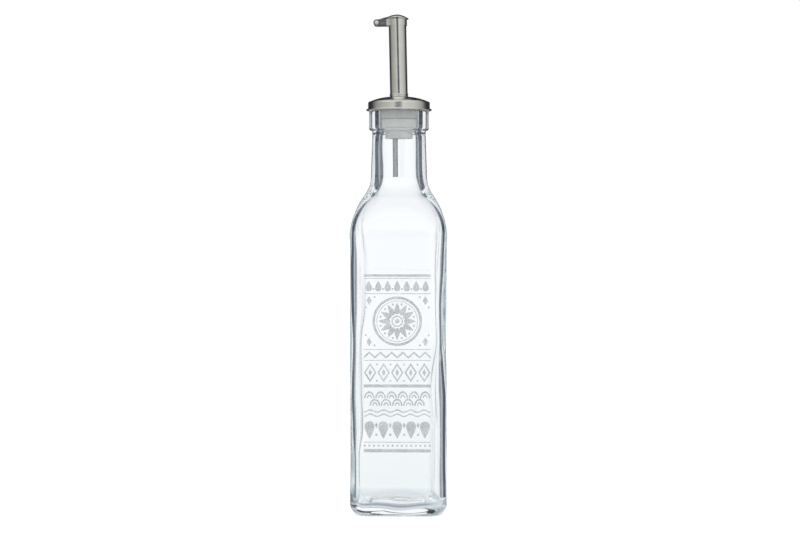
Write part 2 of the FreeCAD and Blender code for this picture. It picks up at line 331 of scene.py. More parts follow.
@dataclass(frozen=True)
class CloudedPlastic(Finish):
    """Milky stopper plastic: light comes through it softly; painted shade above and on its ledge.
    """

    name: str = "clouded_plastic"
    shade: Colour = (0.98, 0.985, 0.97)
    # Painted shade: a darker colour above the ledge, and a dark painted shade line along the ledge.
    painted_shade_above: Colour = (0.72, 0.72, 0.69)
    painted_crease_shade: Colour = (0.30, 0.31, 0.31)
    painted_shade_share: float = 0.5
    painted_crease_share: float = 0.8
    clearness: float = 0.12
    ior: float = 1.49
    ledge_height: float = 0.2370
    painted_crease_width: float = 0.0005
    cloud_scale: float = 220.0
    cloud_dark: float = 0.94
    grain_scale: float = 2400.0
    roughness: Span = (0.40, 0.50)
    relief: float = 0.15
    relief_depth: float = 0.00003

    def write(self, book: NodeBook) -> None:
        """Write the plastic.

        Args:
            book: the material's node tree.
        """
        place = book.object_place()
        cloud = book.noise_field(place, self.cloud_scale, detail=3.0)
        grain = book.noise_field(place, self.grain_scale)
        colour = book.mottled(book.ramp(cloud, *NOISE_SPAN), self.shade, self.cloud_dark)
        height = book.add("ShaderNodeSeparateXYZ", {"Vector": place}).outputs["Z"]
        # Painted shade line: below minus above leaves a thin band at the ledge, which is darkened
        # as painted shade.
        above = book.ramp(height, self.ledge_height, self.ledge_height + self.painted_crease_width)
        below = book.ramp(height, self.ledge_height - self.painted_crease_width, self.ledge_height)
        line = book.maths("SUBTRACT", below, above)
        # Painted shade: above the ledge the colour is blended towards a darker one.
        colour = book.blend(book.maths("MULTIPLY", above, self.painted_shade_share), colour,
                            self.painted_shade_above)
        colour = book.blend(book.maths("MULTIPLY", line, self.painted_crease_share), colour,
                            self.painted_crease_shade)
        book.surface({
            "Base Color": colour, "Roughness": book.ramp(grain, *NOISE_SPAN, *self.roughness),
            "IOR": self.ior, "Transmission Weight": self.clearness,
            "Normal": book.bump(grain, self.relief, self.relief_depth)})


@dataclass(frozen=True)
class PaleFloor(Finish):
    """The studio's plain pale floor."""

    name: str = "studio_floor"
    shade: Colour = (0.90, 0.905, 0.91)
    roughness: float = 0.9
    glow: float = 0.55
    mottle_scale: float = 3.0
    mottle_dark: float = 0.99

    def write(self, book: NodeBook) -> None:
        """Write the floor.

        Args:
            book: the material's node tree.
        """
        mottle = book.noise_field(book.object_place(), self.mottle_scale)
        colour = book.mottled(book.ramp(mottle, *NOISE_SPAN), self.shade, self.mottle_dark)
        book.surface({
            "Base Color": colour, "Roughness": self.roughness, "Emission Color": self.shade,
            "Emission Strength": self.glow})


# ---- Mesh helpers


def show_piece(shape: Shape, name: str, material: bpy.types.Material,
               smooth: bool = True) -> bpy.types.Object:
    """Turn a finished bmesh into an object at the origin.

    Args:
        shape: the mesh, with its place already in its vertices; it is freed.
        name: the object's name.
        material: its one material.
        smooth: whether its faces are shaded smooth.

    Returns:
        The new object, linked to the scene.
    """
    for face in shape.faces:
        face.smooth = smooth
    mesh = bpy.data.meshes.new(name)
    shape.to_mesh(mesh)
    shape.free()
    mesh.materials.append(material)
    piece = bpy.data.objects.new(name, mesh)
    bpy.context.collection.objects.link(piece)
    return piece


def grow_ring(shape: Shape, edges: Sequence[bmesh.types.BMEdge]
              ) -> tuple[list[bmesh.types.BMVert], list[bmesh.types.BMEdge]]:
    """Extrude a ring of edges once.

    Args:
        shape: the mesh.
        edges: the ring to extrude.

    Returns:
        The new ring's vertices and edges.
    """
    made = bmesh.ops.extrude_edge_only(shape, edges=list(edges))["geom"]
    verts = [item for item in made if isinstance(item, bmesh.types.BMVert)]
    fresh = set(verts)
    ring = [item for item in made if isinstance(item, bmesh.types.BMEdge)
            and item.verts[0] in fresh and item.verts[1] in fresh]
    return verts, ring


def square_reach(angle: float, half: float, corner: float) -> float:
    """Distance from the axis to a rounded square, at a plan angle.

    Args:
        angle: the plan angle in radians.
        half: the half width across the flats.
        corner: the plan radius of the corners; a circle where it equals half.

    Returns:
        The distance, in the unit of half.
    """
    quarter = math.pi / 2.0
    turn = abs((angle + quarter / 2.0) % quarter - quarter / 2.0)
    flat = half - corner
    if half * math.tan(turn) <= flat:
        return half / math.cos(turn)
    across = flat * (math.cos(turn) + math.sin(turn))
    return across + math.sqrt(max(across ** 2 - 2.0 * flat ** 2 + corner ** 2, 0.0))


def ease(share: float) -> float:
    """Smooth step from 0 to 1, clamped."""
    share = min(max(share, 0.0), 1.0)
    return share * share * (3.0 - 2.0 * share)


def between(value: float, start: float, stop: float) -> float:
    """Smooth step from 0 at start to 1 at stop, which may be the lower of the two."""
    return ease((value - start) / (stop - start))


def even_shares(count: int) -> list[float]:
    """The shares that part a way into so many steps, without its two ends."""
    return [index / count for index in range(1, count)]


# ---- Glass


@dataclass(frozen=True)
class Ring:
    """One level of the glass shell: half width, corner radius and height, in millimetres."""

    half: float
    corner: float
    height: float
    inside: bool = False

    def arc(self, radius: float, start: float, stop: float, count: int) -> list["Ring"]:
        """Rings along an arc of the shell's outline, with this one at its centre.

        Args:
            radius: the arc's radius.
            start: its first angle in degrees, from the outward direction, upwards positive.
            stop: its last angle.
            count: how many rings.

        Returns:
            The rings, both ends included.
        """
        rings = []
        for share in (0.0, *even_shares(count - 1), 1.0):
            angle = math.radians(start + (stop - start) * share)
            reach = radius * math.cos(angle)
            rings.append(Ring(self.half + reach, self.corner + reach,
                              self.height + radius * math.sin(angle), self.inside))
        return rings

    def towards(self, other: "Ring", shares: Iterable[float]) -> list["Ring"]:
        """Rings on the straight way to another one.

        Args:
            other: the ring at the end of the way.
            shares: how far along it each one lies, 0 to 1.

        Returns:
            The rings, in order.
        """
        return [Ring(self.half + (other.half - self.half) * share,
                     self.corner + (other.corner - self.corner) * share,
                     self.height + (other.height - self.height) * share, self.inside)
                for share in shares]


@dataclass(frozen=True)
class Shoulder:
    """A convex arc that leaves the body upright, then a concave arc into the neck."""

    body: float
    neck: float
    start: float
    end: float
    convex: float
    corner: float
    round_from: float

    def half_at(self, height: float) -> float:
        """Work out the half width; the concave radius follows from tangency.

        Args:
            height: a height between start and end.

        Returns:
            The half width there.
        """
        step = self.body - self.neck
        rise = self.end - self.start
        both = (step ** 2 + rise ** 2) / (2.0 * step)
        concave = both - self.convex
        if height <= self.start + self.convex * rise / both:
            return self.body - self.convex + math.sqrt(
                self.convex ** 2 - (height - self.start) ** 2)
        return self.neck + concave - math.sqrt(concave ** 2 - (self.end - height) ** 2)

    def rings(self, first: float, last: float, count: int, inside: bool = False) -> list[Ring]:
        """Rings over the shoulder, rounder and rounder towards the neck.

        Args:
            first: the height of the first one.
            last: the height of the last one.
            count: how many there are, evenly spaced in height.
            inside: whether they belong to the hollow.

        Returns:
            The rings, both ends included.
        """
        rings = []
        for share in (0.0, *even_shares(count - 1), 1.0):
            height = first + (last - first) * share
            half = self.half_at(height)
            blend = between(height, self.round_from, self.end)
            rings.append(Ring(half, self.corner + (half - self.corner) * blend, height, inside))
        return rings


@dataclass(frozen=True)
class Wander:
    """A value that wanders smoothly with height, through a few set heights."""

    knots: tuple[Span, ...]

    def at(self, height: float) -> float:
        """Read the value at a height.

        Args:
            height: the height in millimetres.

        Returns:
            The value, the same beyond the first and last heights as at them.
        """
        if height <= self.knots[0][0]:
            return self.knots[0][1]
        for (low, first), (high, second) in zip(self.knots, self.knots[1:]):
            if height <= high:
                return first + (second - first) * between(height, low, high)
        return self.knots[-1][1]


@dataclass(frozen=True)
class Sides:
    """A wandering value for the left half of the bottle and one for the right half."""

    left: Wander
    right: Wander

    def at(self, angle: float, height: float) -> float:
        """The value at a plan angle and a height."""
        return (self.left if math.cos(angle) < 0.0 else self.right).at(height)


@dataclass(frozen=True)
class Swell:
    """A smooth random push of the hollow's wall; depth and length are in millimetres."""

    depth: float
    around: float
    length: float
    seed: Span

    def at(self, angle: float, height: float) -> float:
        """The push outwards at a plan angle and a height."""
        spot = Vector((math.cos(angle), math.sin(angle), 0.0)) * self.around
        return self.depth * noise.noise(spot + Vector((*self.seed, height / self.length)))


# Uneven glass, in millimetres: changes of the hollow's corner radii, how much thicker its side
# walls are, and how deep the outside's side walls are dented.
CORNERS = Sides(
    Wander(((36.0, -2.2), (49.0, 0.0), (73.0, 0.5), (103.0, -0.6), (127.0, 1.8),
            (165.0, 2.3))),
    Wander(((40.0, 2.3), (73.0, 2.3), (88.0, 0.8), (103.0, -1.7), (127.0, -1.7),
            (150.0, -0.2))))
THICKER = Sides(
    Wander(((49.0, 0.55), (73.0, 0.0), (103.0, 0.4), (127.0, 0.3))),
    Wander(((40.0, 0.35), (60.0, 0.35), (103.0, 1.0), (127.0, 1.3), (150.0, 0.6),
            (165.0, 0.4))))
DENTS = Sides(
    Wander(((18.0, 0.10), (48.0, 0.22), (74.0, 0.30), (90.0, 0.0), (104.0, 0.12),
            (150.0, 0.10))),
    Wander(((18.0, 0.0), (60.0, 0.05), (84.0, 0.0), (97.0, 0.28), (125.0, 0.18),
            (150.0, 0.05))))


# Where the rings of the push-up, its edge, the bearing ring and the hollow's floor lie.
PUSH_UP_SHARES = (0.02, 0.2, 0.4, 0.55, 0.7, 0.8, 0.87)
EDGE_SHARES = (0.0, 0.2, 0.4, 0.6, 0.8, 1.0)
BEARING_SHARES = (0.35, 0.7)
FLOOR_SHARES = (0.93, 0.84, 0.72, 0.58, 0.44, 0.3, 0.15, 0.02)


@dataclass(frozen=True)
class RingCounts:
    """How many rings each stretch of the shell is made of."""

    heel: int = 15
    wall: int = 18
    shoulder: int = 50
    neck: int = 8
    tuck: int = 3
    collar_edge: int = 6
    collar_wall: int = 4
    lip: int = 4
    bore: int = 18
    hollow_shoulder: int = 60
    hollow_wall: int = 34
    hollow_heel: int = 12


@dataclass
class GlassBottle:
    """The glass shell as one closed surface, from under the base, over the rim, to the floor.

    Sizes are in millimetres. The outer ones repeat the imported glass, whose box sets the
    overall ones.
    """

    half: float
    rim: float
    columns: int = 384
    column_crowding: float = 0.12
    counts: RingCounts = RingCounts()
    corner: float = 11.0
    wall: float = 2.8
    heel: float = 7.0
    body_height: float = 165.0
    shoulder_rise: float = 38.0
    shoulder_radius: float = 46.0
    hollow_start: float = 2.5
    hollow_lead: float = 3.0
    hollow_delay: float = 0.5
    hollow_shoulder_radius: float = 33.0
    push_up_half: float = 18.0
    push_up_depth: float = 2.0
    push_up_crown: float = 0.25
    push_up_edge: float = 1.5
    push_up_corner: float = 5.0
    dome_roundness: float = 0.6
    floor: float = 5.0
    floor_crown: float = 0.5
    floor_corner: float = 3.2
    floor_waver: float = 1.0
    floor_swell: float = 17.0
    floor_seed: float = 4.0
    inner_heel: float = 6.0
    bore: float = 11.2
    bore_step_lead: float = 2.0
    bore_step_length: float = 7.0
    neck_bore: float = 11.9
    neck_top: float = 16.1
    neck_base: float = 16.9
    neck_tuck: float = 0.8
    collar_radius: float = 18.0
    collar_height: float = 16.1
    collar_edge: float = 1.2
    rim_edge: float = 0.8
    # How far the side walls sink, and the heights and shares of width over which they begin to.
    panel_sink: float = 0.06
    panel_foot: Span = (10.0, 18.0)
    panel_top: Span = (168.0, 158.0)
    panel_side: Span = (0.45, 0.75)
    # How far above the body an unevenness has died away, and over what length.
    corner_fade: Span = (6.0, 20.0)
    side_fade: Span = (12.0, 20.0)
    swell_fade: Span = (22.0, 36.0)
    # Where the neck's own swell begins, under the neck, and ends, over the collar's foot.
    neck_swell_lead: float = 16.0
    neck_swell_rise: float = 14.0
    neck_swell_end: float = 4.0
    neck_swell_fall: float = 10.0
    neck_swell: Swell = Swell(0.4, 0.9, 19.0, (5.3, 2.2))
    slow_swell: Swell = Swell(0.28, 1.6, 46.0, (3.1, 7.7))
    quick_swell: Swell = Swell(0.12, 3.1, 21.0, (9.4, 1.2))
    knurl_pitch: float = 2.4
    knurl_depth: float = 0.28
    knurl_height: float = 1.6
    least_corner: float = 0.4

    def outer_rings(self) -> list[Ring]:
        """Rings from the middle of the push-up to the top of the collar's outside.

        Returns:
            The rings, in order.
        """
        counts = self.counts
        rings = [Ring(self.push_up_half * share,
                      self.push_up_half * share * self.dome_roundness,
                      self.push_up_depth + self.push_up_crown * (1.0 - share ** 2))
                 for share in PUSH_UP_SHARES]
        rings += [Ring(self.push_up_half - self.push_up_edge * (1.0 - share),
                       self.push_up_corner + share, self.push_up_depth * (1.0 - ease(share)))
                  for share in EDGE_SHARES]
        foot = Ring(self.half - self.heel, self.corner - self.heel, self.heel)
        rings += rings[-1].towards(replace(foot, height=0.0), BEARING_SHARES)
        rings += foot.arc(self.heel, -90.0, 0.0, counts.heel)
        wall = Ring(self.half, self.corner, self.heel)
        rings += wall.towards(replace(wall, height=self.body_height), even_shares(counts.wall))
        neck = self.body_height + self.shoulder_rise
        shoulder = Shoulder(self.half, self.neck_base, self.body_height, neck,
                            self.shoulder_radius, self.corner, self.body_height)
        rings += shoulder.rings(self.body_height, neck, counts.shoulder)
        collar = self.rim - self.collar_height
        tuck = self.neck_top + self.neck_tuck
        neck_end = Ring(self.neck_top, self.neck_top, collar - self.neck_tuck)
        rings += rings[-1].towards(neck_end, (*even_shares(counts.neck), 1.0))
        rings += Ring(tuck, tuck, neck_end.height).arc(self.neck_tuck, 150.0, 90.0, counts.tuck)
        edge = self.collar_edge
        lip = self.collar_radius - edge
        low, high = Ring(lip, lip, collar + edge), Ring(lip, lip, self.rim - edge)
        rings += low.arc(edge, -90.0, 0.0, counts.collar_edge)
        rings += rings[-1].towards(replace(rings[-1], height=high.height),
                                   even_shares(counts.collar_wall))
        return rings + high.arc(edge, 0.0, 90.0, counts.collar_edge)

    def inner_rings(self) -> list[Ring]:
        """Rings from the rim's inner edge down the bore to the middle of the floor.

        Returns:
            The rings, in order.
        """
        counts = self.counts
        half, corner = self.half - self.wall, self.corner - self.wall
        shoulder = Shoulder(half, self.neck_bore, self.body_height + self.hollow_start,
                            self.body_height + self.shoulder_rise + self.hollow_delay,
                            self.hollow_shoulder_radius, corner,
                            self.body_height - self.hollow_lead)
        top = self.rim - self.rim_edge
        lip = self.bore + self.rim_edge
        rings = Ring(lip, lip, top, True).arc(self.rim_edge, 90.0, 180.0, counts.lip)
        step = self.rim - self.collar_height + self.bore_step_lead
        for share in even_shares(counts.bore):
            height = top + (shoulder.end - top) * share
            widening = between(height, step, step - self.bore_step_length)
            reach = self.bore + (self.neck_bore - self.bore) * widening
            rings.append(Ring(reach, reach, height, True))
        rings += shoulder.rings(shoulder.end, shoulder.start, counts.hollow_shoulder, True)
        foot = self.floor + self.inner_heel
        wall = Ring(half, corner, shoulder.start, True)
        rings += wall.towards(replace(wall, height=foot), even_shares(counts.hollow_wall))
        inset = half - self.inner_heel
        heel = Ring(inset, corner - self.inner_heel, foot, True)
        rings += heel.arc(self.inner_heel, 0.0, -90.0, counts.hollow_heel)
        for share in FLOOR_SHARES:
            dome = inset * share * self.dome_roundness
            rings.append(Ring(
                inset * share, self.floor_corner + (dome - self.floor_corner) * (1.0 - share),
                self.floor + self.floor_crown * (1.0 - share ** 2), True))
        return rings

    def below_shoulder(self, ring: Ring, above: float, length: float) -> float:
        """Give 0 where a level is that far above the body, and 1 a length further down."""
        end = self.body_height + above
        return between(ring.height, end, end - length)

    def corner_at(self, ring: Ring, angle: float) -> float:
        """Corner radius of a ring at a plan angle, uneven inside as in blown glass.

        Args:
            ring: the level of the shell.
            angle: the plan angle in radians.

        Returns:
            The corner radius in millimetres.
        """
        corner, height = ring.corner, ring.height
        lead = self.body_height - self.hollow_lead
        if ring.inside and lead < height < self.body_height + self.hollow_start:
            end = self.body_height + self.shoulder_rise + self.hollow_delay
            corner += (ring.half - corner) * between(height, lead, end)
        if ring.inside:
            fade = self.below_shoulder(ring, *self.corner_fade)
            corner += fade * CORNERS.at(angle, height)
        return min(max(corner, self.least_corner), ring.half)

    def side_share(self, ring: Ring, angle: float) -> float:
        """How far the hollow reaches sideways, as a share, where a side wall is thicker."""
        thicker = THICKER.at(angle, ring.height) if ring.inside else 0.0
        return 1.0 - self.below_shoulder(ring, *self.side_fade) * thicker / self.half

    def unevenness(self, ring: Ring, angle: float) -> float:
        """How far a point is pushed inwards or outwards, in millimetres.

        Args:
            ring: the level of the shell.
            angle: the plan angle in radians.

        Returns:
            The change of reach; on the outside it is never positive.
        """
        height = ring.height
        if not ring.inside:
            panel = between(height, *self.panel_foot) * between(height, *self.panel_top)
            side = between(abs(math.cos(angle)), *self.panel_side)
            return -panel * (self.panel_sink + side * DENTS.at(angle, height))
        neck = self.body_height + self.shoulder_rise - self.neck_swell_lead
        if height > neck:
            end = self.rim - self.collar_height + self.neck_swell_end
            fade = between(height, neck, neck + self.neck_swell_rise)
            fade *= between(height, end, end - self.neck_swell_fall)
            return fade * self.neck_swell.at(angle, height)
        fade = between(height, self.floor, self.floor + self.inner_heel)
        fade *= self.below_shoulder(ring, *self.swell_fade)
        return fade * (self.slow_swell.at(angle, height) + self.quick_swell.at(angle, height))

    def knurl_share(self, ring: Ring) -> float:
        """How strongly the knurls under the foot show at a level, 1 at the ground."""
        shown = not ring.inside and ring.half >= self.push_up_half
        return between(ring.height, self.knurl_height, 0.0) if shown else 0.0

    def place(self, verts: Iterable[bmesh.types.BMVert], ring: Ring) -> None:
        """Move a ring's vertices to their level of the shell.

        Args:
            verts: the ring's vertices, at their plan angles already.
            ring: the level.
        """
        top, eighth = self.floor + self.inner_heel, math.pi / 4.0
        on_floor = between(ring.height, top, self.floor) if ring.inside else 0.0
        knurled = self.knurl_share(ring) * self.knurl_depth
        for vert in verts:
            angle = math.atan2(vert.co.y, vert.co.x)
            reach = square_reach(angle, ring.half, self.corner_at(ring, angle))
            reach += self.unevenness(ring, angle)
            x, y = reach * math.cos(angle), reach * math.sin(angle)
            swell = noise.noise(Vector((x, y, self.floor_seed)) / self.floor_swell)
            across = reach * math.sin(abs((angle + eighth) % (2.0 * eighth) - eighth))
            beat = 0.5 - 0.5 * math.cos(2.0 * math.pi * across / self.knurl_pitch)
            height = ring.height + on_floor * self.floor_waver * swell + knurled * beat
            vert.co = Vector((x * self.side_share(ring, angle), y, height)) * MM

    def build(self) -> Shape:
        """Loft the whole shell, ring by ring.

        Returns:
            A closed mesh in metres.
        """
        shape = bmesh.new()
        verts = bmesh.ops.create_circle(shape, cap_ends=False, radius=1.0,
                                        segments=self.columns)["verts"]
        for vert in verts:
            angle = math.atan2(vert.co.y, vert.co.x)
            angle += self.column_crowding * math.sin(4.0 * angle)
            vert.co = Vector((math.cos(angle), math.sin(angle), 0.0))
        edges = list(shape.edges)
        rings = self.outer_rings() + self.inner_rings()
        self.place(verts, rings[0])
        first = list(verts)
        for ring in rings[1:]:
            verts, edges = grow_ring(shape, edges)
            self.place(verts, ring)
        for end, height in ((first, rings[0].height), (verts, rings[-1].height)):
            bmesh.ops.pointmerge(shape, verts=end, merge_co=Vector((0.0, 0.0, height * MM)))
        bmesh.ops.recalc_face_normals(shape, faces=shape.faces)
        return shape

    def dress(self, finish: ClearGlass) -> bpy.types.Object:
        """Build the shell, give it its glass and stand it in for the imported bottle.

        Args:
            finish: the glass.

        Returns:
            The shell's object.
        """
        piece = show_piece(self.build(), "glass_shell", finish.make())
        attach(piece, BODY)
        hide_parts("bottle")
        return piece


# ---- Etched ornament


class Way(Enum):
    """Which way a drop points."""

    UP = 0.0
    DOWN = math.pi


@dataclass
class Etching:
    """A generic ornament on the front flat: lines, drops, a rosette, lozenges and scales.

    Sizes are in millimetres; across is to the right and height is above the base.
    """

    front: float
    middle: float = -0.4
    half: float = 19.8
    flat: float = 18.0
    corner: float = 11.0
    film: float = 0.02
    lift: float = 0.035
    weld: float = 0.001
    thin: float = 0.45
    drop_girth: float = 0.62
    drop_taper: float = 1.25
    disc_points: int = 20
    drop_points: int = 36
    rule_faces: int = 48
    wave_faces: int = 120
    shape: Shape = field(default_factory=bmesh.new)

    def stamp(self, across: float, height: float, outline: Callable[[float], Span],
              segments: int, turn: float = 0.0) -> None:
        """Add one flat motif.

        Args:
            across: where its centre lies.
            height: where its centre lies.
            outline: gives a point of the motif for an angle, from its centre.
            segments: how many points its outline has.
            turn: how far it is turned, in radians.
        """
        made = bmesh.ops.create_circle(self.shape, cap_ends=True, radius=1.0, segments=segments)
        cosine, sine = math.cos(turn), math.sin(turn)
        for vert in made["verts"]:
            u, v = outline(math.atan2(vert.co.y, vert.co.x))
            vert.co = self.point(across + u * cosine - v * sine, height + u * sine + v * cosine)

    def point(self, across: float, height: float) -> Vector:
        """Lay a point of the ornament, bent back where the corners begin.

        Args:
            across: how far to the right of the ornament's middle it lies.
            height: how far above the base.

        Returns:
            The point in metres.
        """
        x = self.middle + across
        past = max(abs(x) - self.flat, 0.0)
        bend = self.corner - math.sqrt(self.corner ** 2 - past ** 2)
        return Vector((x, self.front + self.lift + bend, height)) * MM

    def disc(self, across: float, height: float, radius: float) -> None:
        """Add a solid dot."""
        self.stamp(across, height, lambda t: (radius * math.cos(t), radius * math.sin(t)),
                   self.disc_points)

    def lozenge(self, across: float, height: float, wide: float, tall: float) -> None:
        """Add a solid lozenge."""
        self.stamp(across, height, lambda t: (wide / 2 * math.cos(t), tall / 2 * math.sin(t)), 4)

    def drop(self, across: float, height: float, wide: float, tall: float,
             turn: float = Way.UP.value) -> None:
        """Add a solid drop, round at one end and pointed at the other.

        Args:
            across: where its centre lies.
            height: where its centre lies.
            wide: roughly how wide it is.
            tall: how long it is.
            turn: which way it points, in radians from upwards.
        """
        def outline(angle: float) -> Span:
            """A teardrop's outline, narrower towards its point."""
            narrow = self.drop_taper - math.cos(angle / 2.0 - math.pi / 4.0) ** 2
            return wide * self.drop_girth * narrow * math.cos(angle), tall / 2 * math.sin(angle)
        self.stamp(across, height, outline, self.drop_points, turn)

    def hoop(self, across: float, height: float, radius: float, stroke: float,
             first: float = 0.0, last: float = 360.0, stretch: float = 1.0,
             steps: int = 64) -> None:
        """Add a ring or an arc of even stroke.

        Args:
            across: where its centre lies.
            height: where its centre lies.
            radius: its outer radius.
            stroke: how wide its line is.
            first: where the arc begins, in degrees.
            last: where it ends.
            stretch: its height over its width.
            steps: how many faces it has.
        """
        def place(share: float, side: float) -> Span:
            """A point of the arc's outer or inner edge."""
            angle, reach = math.radians(first + (last - first) * share), radius - stroke * side
            return across + reach * math.cos(angle), height + stretch * reach * math.sin(angle)
        self.ribbon(place, steps)

    def ribbon(self, place: Callable[[float, float], Span], steps: int) -> None:
        """Add a strip, one row of faces long.

        Args:
            place: gives a point for a share of the length and a side, 0 or 1.
            steps: how many faces long it is.
        """
        made = bmesh.ops.create_grid(self.shape, x_segments=steps, y_segments=1, size=0.5)
        for vert in made["verts"]:
            across, height = place(vert.co.x + 0.5, vert.co.y + 0.5)
            vert.co = self.point(across, height)

    def rule(self, height: float, stroke: float) -> None:
        """Add a straight line across the field."""
        self.ribbon(lambda share, side: ((2.0 * share - 1.0) * self.half,
                                         height + (side - 0.5) * stroke), self.rule_faces)

    def swell(self, height: float, stroke: float, rise: float, length: float,
              sharp: bool = False) -> None:
        """Add a wavy line, or a zigzag one.

        Args:
            height: its middle height.
            stroke: how wide its line is.
            rise: how far it rises and falls.
            length: how long one wave is.
            sharp: whether it is a zigzag.
        """
        def level(beat: float) -> float:
            """How high the line runs at a share of a wave, from -1 to 1."""
            return (1.0 - 4.0 * abs(beat - 0.5)) if sharp else math.cos(2 * math.pi * beat)

        def place(share: float, side: float) -> Span:
            """A point of the wave's lower or upper edge."""
            along = (2.0 * share - 1.0) * self.half
            return along, height + rise * level(along / length % 1.0) + (side - 0.5) * stroke
        self.ribbon(place, round(4.0 * self.half / length) if sharp else self.wave_faces)

    def row(self, count: int, pitch: float) -> Iterable[float]:
        """How far across the places of a centred row lie."""
        return ((index - (count - 1) / 2.0) * pitch for index in range(count))

    def draw_top(self) -> None:
        """Lines, a row of drops and a rosette in a ring of dots."""
        self.rule(143.6, 1.5)
        self.rule(141.9, self.thin)
        for across in self.row(7, 5.6):
            self.drop(across, 137.4, 3.5, 6.2)
        for across in self.row(6, 5.6):
            self.disc(across, 135.6, 0.62)
        self.rule(132.9, self.thin)
        centre = 116.6
        self.hoop(0.0, centre, 14.6, 1.5, steps=96)
        self.hoop(0.0, centre, 12.2, 0.4, steps=96)
        for index in range(12):
            angle = math.radians(30.0 * index)
            self.drop(7.6 * math.sin(angle), centre + 7.6 * math.cos(angle), 3.0, 7.0, -angle)
            angle += math.radians(15.0)
            self.disc(10.2 * math.sin(angle), centre + 10.2 * math.cos(angle), 0.65)
        self.hoop(0.0, centre, 3.4, 0.8, steps=40)
        self.disc(0.0, centre, 1.3)
        for side in (-1.0, 1.0):
            for level in (-1.0, 1.0):
                self.lozenge(side * 16.6, centre + level * 12.2, 3.2, 5.4)
                self.disc(side * 18.6, centre + level * 8.2, 0.6)
                self.disc(side * 13.4, centre + level * 14.3, 0.6)

    def draw_middle(self) -> None:
        """Lines, a zigzag, framed lozenges and two rows of scales."""
        self.rule(99.9, self.thin)
        self.swell(96.6, 1.3, 1.5, 6.6, sharp=True)
        self.rule(93.4, self.thin)
        for across in self.row(5, 8.0):
            self.hoop(across, 86.2, 3.7, 1.05, stretch=1.55, steps=4)
            self.lozenge(across, 86.2, 2.2, 4.2)
        for across in self.row(4, 8.0):
            self.disc(across, 91.0, 0.6)
            self.disc(across, 81.4, 0.6)
        self.rule(78.3, 1.8)
        for level, count in ((71.0, 6), (66.6, 5)):
            for across in self.row(count, 6.6):
                self.hoop(across, level, 3.1, 0.85, 0.0, 180.0, 1.35, 24)
                self.hoop(across, level, 1.55, 0.7, 0.0, 180.0, 1.35, 16)

    def draw_foot(self) -> None:
        """Wavy lines, hanging drops, dots and closing lines."""
        for level in (63.4, 60.9):
            self.swell(level, 0.75, 0.7, 7.92)
        for across in self.row(5, 8.2):
            self.drop(across, 52.2, 5.4, 10.2, Way.DOWN.value)
        for across in self.row(4, 8.2):
            self.lozenge(across, 55.0, 1.9, 3.4)
            self.disc(across, 49.4, 0.75)
        self.rule(44.9, self.thin)
        for across in self.row(15, 2.75):
            self.disc(across, 42.9, 0.62)
        self.rule(39.9, 1.9)

    def dress(self, finish: EtchedFrost) -> bpy.types.Object:
        """Draw the whole ornament, thicken it to a film and lay it on the front flat.

        Args:
            finish: the print's look.

        Returns:
            The ornament's object.
        """
        self.draw_top()
        self.draw_middle()
        self.draw_foot()
        bmesh.ops.remove_doubles(self.shape, verts=self.shape.verts, dist=self.weld * MM)
        bmesh.ops.recalc_face_normals(self.shape, faces=self.shape.faces)
        for face in self.shape.faces:
            if face.normal.y > 0.0:
                face.normal_flip()
        made = bmesh.ops.extrude_face_region(self.shape, geom=list(self.shape.faces),
                                             use_keep_orig=True)["geom"]
        moved = [item for item in made if isinstance(item, bmesh.types.BMVert)]
        bmesh.ops.translate(self.shape, verts=moved, vec=Vector((0.0, -self.film * MM, 0.0)))
        bmesh.ops.recalc_face_normals(self.shape, faces=self.shape.faces)
        piece = show_piece(self.shape, "etched_ornament", finish.make(), smooth=False)
        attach(piece, BODY)
        return piece


# ---- Steel and plastic


@dataclass
class Pourer:
    """The stopper, cap, spout, air tube, hinge sleeve, rivet and lid, dressed where they lie."""

    finishes: dict[str, Finish]

    def dress(self) -> None:
        """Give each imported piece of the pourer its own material."""
        for node, finish in self.finishes.items():
            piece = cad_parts[node]
            material = finish.make()
            piece.data.materials.clear()
            piece.data.materials.append(material)


# ---- Studio


Cards = tuple[tuple[float, Colour], ...]
WHITE: Colour = (1.0, 1.0, 1.02)
LOW_WHITE: Colour = (0.905, 0.945, 0.945)
SLATE: Colour = (0.085, 0.11, 0.145)
NIGHT: Colour = (0.018, 0.024, 0.036)
DUSK: Colour = (0.040, 0.044, 0.050)
PALE: Colour = (0.50, 0.54, 0.58)


def flag_cards(flag: Colour, back: Colour) -> Cards:
    """The cards that show through the glass at one level.

    Args:
        flag: the light of the two dark flags either side of the back.
        back: the light of the back between them.

    Returns:
        Each card edge's angle from the back, in degrees, and its light.
    """
    return (
        (-180.0, (1.0, 1.0, 1.0)), (-164.0, (1.15, 1.15, 1.12)), (-120.0, (0.95, 0.95, 0.93)),
        (-90.0, (0.82, 0.83, 0.83)), (-68.0, (0.20, 0.22, 0.24)), (-63.0, PALE), (-59.0, PALE),
        (-55.0, flag), (-23.0, flag), (-19.0, back), (19.0, back), (23.0, flag), (55.0, flag),
        (59.0, PALE), (63.0, PALE), (68.0, (0.25, 0.27, 0.29)), (90.0, (0.86, 0.88, 0.90)),
        (120.0, (1.05, 1.08, 1.08)), (164.0, (1.15, 1.15, 1.12)), (180.0, (1.0, 1.0, 1.0)))


def mirror_cards(front: Colour) -> Cards:
    """The cards that the steel and the outside of the glass mirror at one level.

    Args:
        front: the light behind the camera.

    Returns:
        Each card edge's angle from the back, in degrees, and its light.
    """
    return (
        (-180.0, front), (-171.0, front), (-165.0, (0.86, 0.87, 0.86)),
        (-142.0, (0.66, 0.655, 0.63)), (-118.0, (0.60, 0.59, 0.565)), (-88.0, (0.42, 0.42, 0.41)),
        (-62.0, DUSK), (62.0, DUSK), (84.0, (0.50, 0.49, 0.47)), (104.0, (0.68, 0.68, 0.65)),
        (122.0, (0.80, 0.83, 0.80)), (145.0, (0.84, 0.87, 0.84)), (165.0, (1.0, 1.02, 1.0)),
        (171.0, front), (180.0, front))


